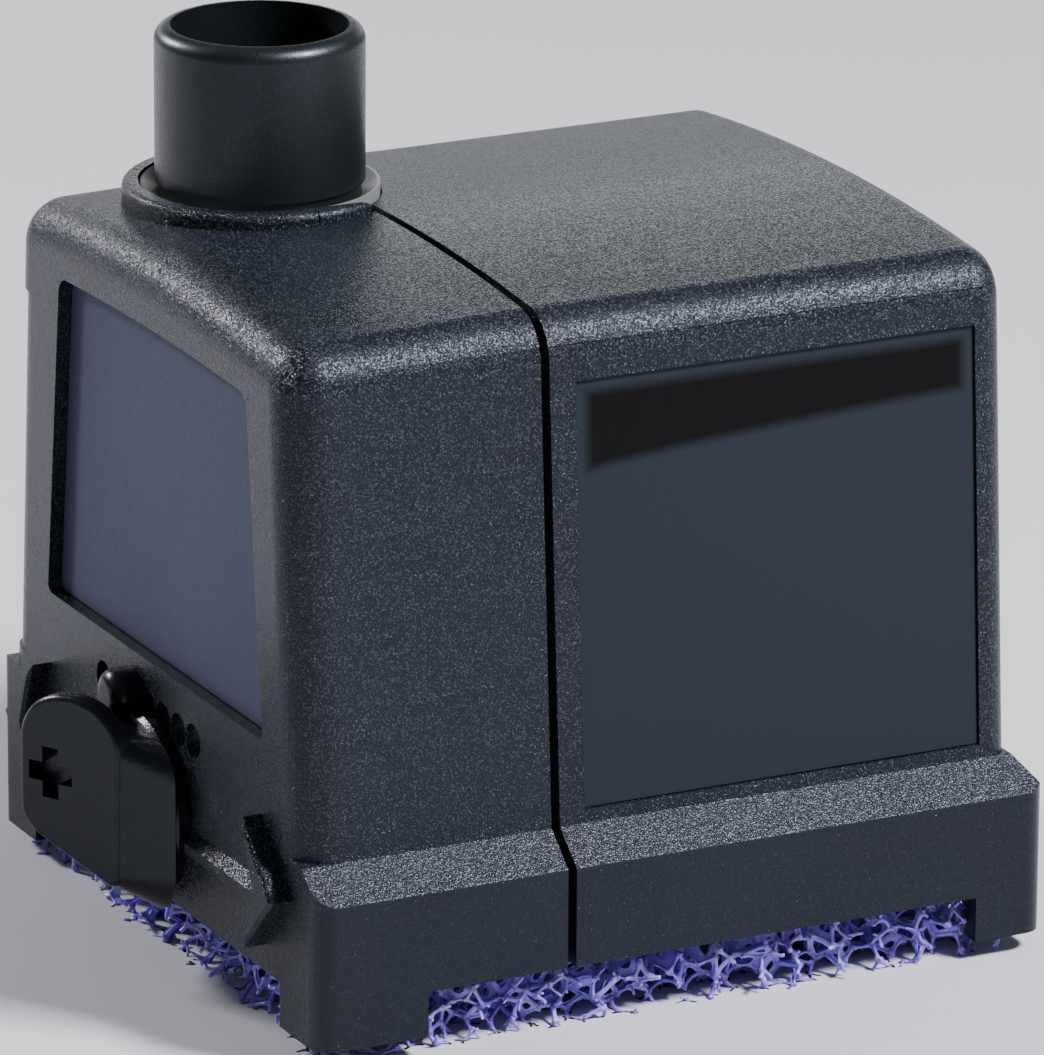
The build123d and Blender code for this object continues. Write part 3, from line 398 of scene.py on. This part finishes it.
def shaded_foam_core_material():
    """Inner foam coloured dark as painted shade, seen only between the struts."""
    material, tree, shader = new_material("shaded_foam_core")
    coords = object_coords(tree)
    cells = add(tree, "ShaderNodeTexVoronoi", Scale=0.3 / MM)
    tree.links.new(coords, cells.inputs["Vector"])
    # painted shade: the inner foam is the same foam, coloured dark for the shade deep inside it
    stops = ((0.0, (0.015, 0.006, 0.07)), (0.8, (0.07, 0.04, 0.26)))
    tree.links.new(ramp(tree, cells.outputs["Distance"], stops), shader.inputs["Base Color"])
    tree.links.new(bump(tree, cells.outputs["Distance"], 1.5), shader.inputs["Normal"])
    shader.inputs["Roughness"].default_value = 0.5
    return material


def metal(name, colour, rough, grain, metallic):
    """Plain metal with a faint grain."""
    material, tree, shader = new_material(name)
    coords = object_coords(tree)
    fine = noise(tree, coords, grain, 3.0, 0.6)
    darker = tuple(0.7 * c for c in colour)
    tint = ramp(tree, fine, ((0.3, darker), (0.7, colour)))
    tree.links.new(tint, shader.inputs["Base Color"])
    roughness = grey_ramp(tree, fine, 0.3, 0.7, rough, rough + 0.15)
    tree.links.new(roughness, shader.inputs["Roughness"])
    shader.inputs["Metallic"].default_value = metallic
    return material


def banded(name, axis, colour_a, colour_b, pitch_mm, rough):
    """Metal with fine bands along one axis: laminations or wire turns."""
    material, tree, shader = new_material(name)
    coords = object_coords(tree)
    wave = add(tree, "ShaderNodeTexWave", Scale=1 / (pitch_mm * MM) / math.tau)
    wave.bands_direction = axis
    tree.links.new(coords, wave.inputs["Vector"])
    colour = ramp(tree, wave.outputs["Fac"], ((0.2, colour_a), (0.8, colour_b)))
    tree.links.new(colour, shader.inputs["Base Color"])
    tree.links.new(bump(tree, wave.outputs["Fac"], 0.08), shader.inputs["Normal"])
    shader.inputs["Roughness"].default_value = rough
    shader.inputs["Metallic"].default_value = 1.0
    return material


def make_materials():
    """Every material of a kept CAD node, by the record's slot."""
    materials = {"side_panel": side_panel_material()}
    for name, look in GRAINED.items():
        materials[name] = grained_plastic(name, **look)
    for maker, rows in ((smooth_panel, SMOOTH), (metal, METALS), (banded, BANDED)):
        for name, look in rows.items():
            materials[name] = maker(name, *look)
    return materials


def dress_nodes(materials):
    """Gives each CAD node the material of its slot."""
    slots = {row["node"]: row["material_slot"] for row in frame["record"]["subparts"]}
    for name, node in frame["nodes"].items():
        slot = slots[name]
        if slot in materials:
            node.data.materials.clear()
            node.data.materials.append(materials[slot])


# ================= foam =================

def foam_limits():
    """Lowest and highest corner of the foam block, millimetres."""
    low, high = (Vector(p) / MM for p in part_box("filter_foam"))
    return low, high


def random_vector(rng, highest_z=1):
    """A random vector with parts from -1 to 1."""
    return Vector((rng.uniform(-1, 1), rng.uniform(-1, 1), rng.uniform(-1, highest_z)))


def octahedron_corners(base):
    """Corners of a truncated octahedron about base, in quarter cells."""
    found = []
    for b, c in ((1, 2), (2, 1), (0, 2), (2, 0), (0, 1), (1, 0)):
        for sign_b in (1, -1):
            for sign_c in (1, -1):
                offset = [0, 0, 0]
                offset[b] = sign_b
                offset[c] = 2 * sign_c
                found.append(tuple(base[n] + offset[n] for n in range(3)))
    return found


def placed(base, axis, sign, pair):
    """A corner of the square window that faces along an axis."""
    offset = list(pair)
    offset.insert(axis, sign)
    return tuple(base[n] + offset[n] for n in range(3))


def cell_windows(base):
    """The squares and hexagons between a cell and its neighbours, as corner loops."""
    loops = []
    square = ((1, 0), (0, 1), (-1, 0), (0, -1))
    for axis in range(3):
        for sign in (2, -2):
            loops.append([placed(base, axis, sign, pair) for pair in square])
    hexagon = ((0, 1, 2), (1, 0, 2), (2, 0, 1), (2, 1, 0), (1, 2, 0), (0, 2, 1))
    for sx in (1, -1):
        for sy in (1, -1):
            for sz in (1, -1):
                loop = [(base[0] + sx * x, base[1] + sy * y, base[2] + sz * z) for x, y, z in hexagon]
                loops.append(loop)
    return loops


def cell_middles(low, high, origin):
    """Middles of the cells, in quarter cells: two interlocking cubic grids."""
    counts = [int((high[i] - origin[i]) / FOAM_CELL) + 3 for i in range(2)]
    levels = int((FOAM_TOP - origin.z) / FOAM_CELL) + 2
    middles = []
    for i in range(counts[0]):
        for j in range(counts[1]):
            for k in range(levels):
                for shift in (0, 2):
                    middles.append((4 * i + shift, 4 * j + shift, 4 * k + shift))
    return middles


def foam_network(rng, low, high):
    """Where the cells' corners lie, the struts between them and the windows' loops."""
    origin = Vector((low.x - FOAM_CELL, low.y - FOAM_CELL, low.z - FOAM_CELL * FOAM_START))
    middles = cell_middles(low, high, origin)
    corners = set()
    for middle in middles:
        corners.update(octahedron_corners(middle))
    ordered = sorted(corners)
    place = {}
    for corner in ordered:
        stray = random_vector(rng) * FOAM_JITTER
        place[corner] = origin + Vector(corner) * (FOAM_CELL / 4) + stray
    struts = []
    steps = ((1, 1, 0), (1, -1, 0), (1, 0, 1), (1, 0, -1), (0, 1, 1), (0, 1, -1))
    for corner in ordered:
        for step in steps:
            other = tuple(corner[n] + step[n] for n in range(3))
            if other in corners:
                struts.append((corner, other))
    windows = {}
    for middle in middles:
        for loop in cell_windows(middle):
            windows.setdefault(frozenset(loop), loop)
    return place, struts, list(windows.values())


def in_foam(point, low, high):
    """True where a corner lies inside the block, grown by the skin's slack."""
    inside = all(low[n] - FOAM_SLACK <= point[n] <= high[n] + FOAM_SLACK for n in range(2))
    return inside and low.z - FOAM_SLACK * 0.5 <= point.z <= FOAM_TOP


def near_skin(point, low, high):
    """True within the built depth of a visible face."""
    sides = min(point.x - low.x, high.x - point.x, point.y - low.y, high.y - point.y)
    return sides < FOAM_SKIN or point.z < low.z + FOAM_SOLE


def add_strut(start, end, radii, waist, rng, verts, faces):
    """Appends one strut, thin in the middle, to the lists."""
    axis = end - start
    length = axis.length
    if length < STRUT_SHORTEST:
        return
    side = axis.orthogonal().normalized()
    other = axis.normalized().cross(side)
    bow = (side * rng.uniform(-1, 1) + other * rng.uniform(-1, 1)) * STRUT_BOW * length
    twist = rng.uniform(0, math.tau)
    first = len(verts)
    for ring in range(STRUT_RINGS + 1):
        t = ring / STRUT_RINGS
        belly = 4 * t * (1 - t)
        thick = (1 - belly) ** STRUT_TAPER
        radius = (radii[0] * (1 - t) + radii[1] * t) * thick + waist * (1 - thick)
        centre = start + axis * t + bow * belly
        for k in range(STRUT_SIDES):
            angle = twist + math.tau * k / STRUT_SIDES
            lobed = radius * (1.0 + STRUT_LOBES * math.cos(3 * angle))
            verts.append(centre + side * (lobed * math.cos(angle)) + other * (lobed * math.sin(angle)))
    for ring in range(STRUT_RINGS):
        for k in range(STRUT_SIDES):
            a = first + ring * STRUT_SIDES + k
            b = first + ring * STRUT_SIDES + (k + 1) % STRUT_SIDES
            faces.append((a, b, b + STRUT_SIDES, a + STRUT_SIDES))
    faces.append(tuple(first + k for k in reversed(range(STRUT_SIDES))))
    last = first + STRUT_RINGS * STRUT_SIDES
    faces.append(tuple(last + k for k in range(STRUT_SIDES)))


def add_struts(struts, place, low, high, rng, verts, faces):
    """Appends the struts near the skin, cut where they would leave the foam."""
    for first, second in struts:
        a, b = place[first], place[second]
        inside_a = in_foam(a, low, high)
        inside_b = in_foam(b, low, high)
        if not (inside_a or inside_b):
            continue
        if not (near_skin(a, low, high) or near_skin(b, low, high)):
            continue
        radius_a = STRUT_END * rng.uniform(*END_SPREAD)
        radius_b = STRUT_END * rng.uniform(*END_SPREAD)
        waist = STRUT_WAIST * rng.uniform(*WAIST_SPREAD)
        if inside_a and inside_b:
            add_strut(a, b, (radius_a, radius_b), waist, rng, verts, faces)
            continue
        if not inside_a:
            a, b = b, a
        tip = a.lerp(b, rng.uniform(*CUT_SPREAD))
        thin = waist * CUT_WAIST
        add_strut(a, tip, (radius_a, thin), thin, rng, verts, faces)


def add_web(points, rng, verts, faces):
    """Appends a thin web round a window's edge, with an uneven hole in its middle."""
    centre = sum(points, Vector()) / len(points)
    centre += random_vector(rng) * WEB_STRAY
    hole = rng.choice(WEB_HOLES)
    rim = []
    for index, point in enumerate(points):
        after = points[(index + 1) % len(points)]
        rim.append((point, WEB_CORNER))
        rim.append((point.lerp(after, 0.5), 1.0))
    first = len(verts)
    for point, pull in rim:
        verts.append(point)
        verts.append(centre + (point - centre) * (hole * pull * rng.uniform(*WEB_SPREAD)))
    count = len(rim)
    for k in range(count):
        a = first + 2 * k
        b = first + 2 * ((k + 1) % count)
        faces.append((a, b, b + 1, a + 1))


def add_webs(windows, place, low, high, rng, verts, faces):
    """Appends webs in most of the windows near the skin."""
    for loop in windows:
        points = [place[corner] for corner in loop]
        kept = all(in_foam(point, low, high) for point in points)
        if kept and any(near_skin(point, low, high) for point in points) and rng.random() < WEB_SHARE:
            add_web(points, rng, verts, faces)


def new_piece(name, verts, faces, material):
    """A mesh object from points in millimetres."""
    mesh = bpy.data.meshes.new(name)
    mesh.from_pydata([vert * MM for vert in verts], [], faces)
    mesh.update()
    piece = bpy.data.objects.new(name, mesh)
    bpy.context.scene.collection.objects.link(piece)
    piece.data.materials.append(material)
    return piece


def build_foam(material, shaded_core_material):
    """The foam's open skin of struts, over a core coloured dark as painted shade."""
    rng = random.Random(FOAM_SEED)
    low, high = foam_limits()
    place, struts, windows = foam_network(rng, low, high)
    verts, faces = [], []
    add_struts(struts, place, low, high, rng, verts, faces)
    add_webs(windows, place, low, high, rng, verts, faces)
    for vert in verts:
        vert.z = max(vert.z, low.z + FOAM_FLOOR_GAP)
    foam = new_piece("foam_struts", verts, faces, material)
    for polygon in foam.data.polygons:
        polygon.use_smooth = True
    core = build_core(shaded_core_material, low, high)
    core.parent = foam
    return foam


def core_quads(nx, ny, nz):
    """The corner indices of every quad on the skin of a grid block."""
    for i in range(nx):
        for j in range(ny):
            yield (i, j, 0), (i, j + 1, 0), (i + 1, j + 1, 0), (i + 1, j, 0)
            yield (i, j, nz), (i + 1, j, nz), (i + 1, j + 1, nz), (i, j + 1, nz)
    for k in range(nz):
        for i in range(nx):
            yield (i, 0, k), (i + 1, 0, k), (i + 1, 0, k + 1), (i, 0, k + 1)
            yield (i, ny, k), (i, ny, k + 1), (i + 1, ny, k + 1), (i + 1, ny, k)
        for j in range(ny):
            yield (0, j, k), (0, j, k + 1), (0, j + 1, k + 1), (0, j + 1, k)
            yield (nx, j, k), (nx, j + 1, k), (nx, j + 1, k + 1), (nx, j, k + 1)


def build_core(material, low, high):
    """The inner foam behind the struts, a block with an uneven skin, coloured dark as painted shade.
    """
    rng = random.Random(FOAM_SEED + 1)
    foot = Vector((low.x + CORE_INSET, low.y + CORE_INSET, low.z + CORE_FOOT))
    top = Vector((high.x - CORE_INSET, high.y - CORE_INSET, high.z - CORE_TOP))
    verts, faces, numbers = [], [], {}
    for quad in core_quads(*CORE_STEPS):
        for corner in quad:
            if corner not in numbers:
                numbers[corner] = len(verts)
                point = [foot[n] + (top[n] - foot[n]) * corner[n] / CORE_STEPS[n] for n in range(3)]
                verts.append(Vector(point) + random_vector(rng, 0.2) * CORE_STRAY)
        faces.append(tuple(numbers[corner] for corner in quad))
    return new_piece("shaded_foam_core", verts, faces, material)


# ================= stage, light and camera =================

def make_floor():
    """A plain pale floor."""
    mesh = bpy.data.meshes.new("floor")
    verts = [(x * FLOOR_REACH, y * FLOOR_REACH, 0) for x, y in ((-1, -1), (1, -1), (1, 1), (-1, 1))]
    mesh.from_pydata(verts, [], [(0, 1, 2, 3)])
    floor = bpy.data.objects.new("floor", mesh)
    bpy.context.scene.collection.objects.link(floor)
    material, _, shader = new_material("floor")
    shader.inputs["Base Color"].default_value = FLOOR_COLOUR
    shader.inputs["Roughness"].default_value = 0.9
    floor.data.materials.append(material)


def area_light(name, position, size, power, colour):
    """A soft rectangular light aimed at the object."""
    data = bpy.data.lights.new(name, "AREA")
    data.shape = "RECTANGLE"
    data.size, data.size_y = size
    data.energy = power
    data.color = colour
    light = bpy.data.objects.new(name, data)
    bpy.context.scene.collection.objects.link(light)
    light.location = position
    direction = Vector(LIGHT_TARGET) - Vector(position)
    light.rotation_mode = "QUATERNION"
    light.rotation_quaternion = direction.to_track_quat("-Z", "Y")


def make_lights():
    """Soft studio light: two softboxes, a low rear panel and a faint sky."""
    for name, (position, size, power, colour) in LIGHTS.items():
        area_light(name, position, size, power, colour)
    world = bpy.context.scene.world or bpy.data.worlds.new("World")
    bpy.context.scene.world = world
    world.use_nodes = True
    background = world.node_tree.nodes["Background"]
    background.inputs["Color"].default_value = WORLD_COLOUR
    background.inputs["Strength"].default_value = WORLD_STRENGTH


def make_camera():
    """The camera at the photograph's viewing angle."""
    data = bpy.data.cameras.new("camera")
    data.lens = CAMERA_LENS
    data.sensor_width = CAMERA_SENSOR
    data.clip_start = CAMERA_NEAR
    data.clip_end = CAMERA_FAR
    camera = bpy.data.objects.new("camera", data)
    bpy.context.scene.collection.objects.link(camera)
    right = Vector(CAMERA_RIGHT).normalized()
    back = right.cross(Vector(CAMERA_UP)).normalized()
    up = back.cross(right)
    rotation = Matrix((right, up, back)).transposed()
    camera.rotation_mode = "QUATERNION"
    camera.rotation_quaternion = rotation.to_quaternion()
    camera.location = Vector(CAMERA_MM) * MM
    bpy.context.scene.camera = camera


make_camera()
dress_nodes(make_materials())
foam = build_foam(foam_material(), shaded_foam_core_material())
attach(foam, "pump_body")
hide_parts("filter_foam")
make_floor()
make_lights()
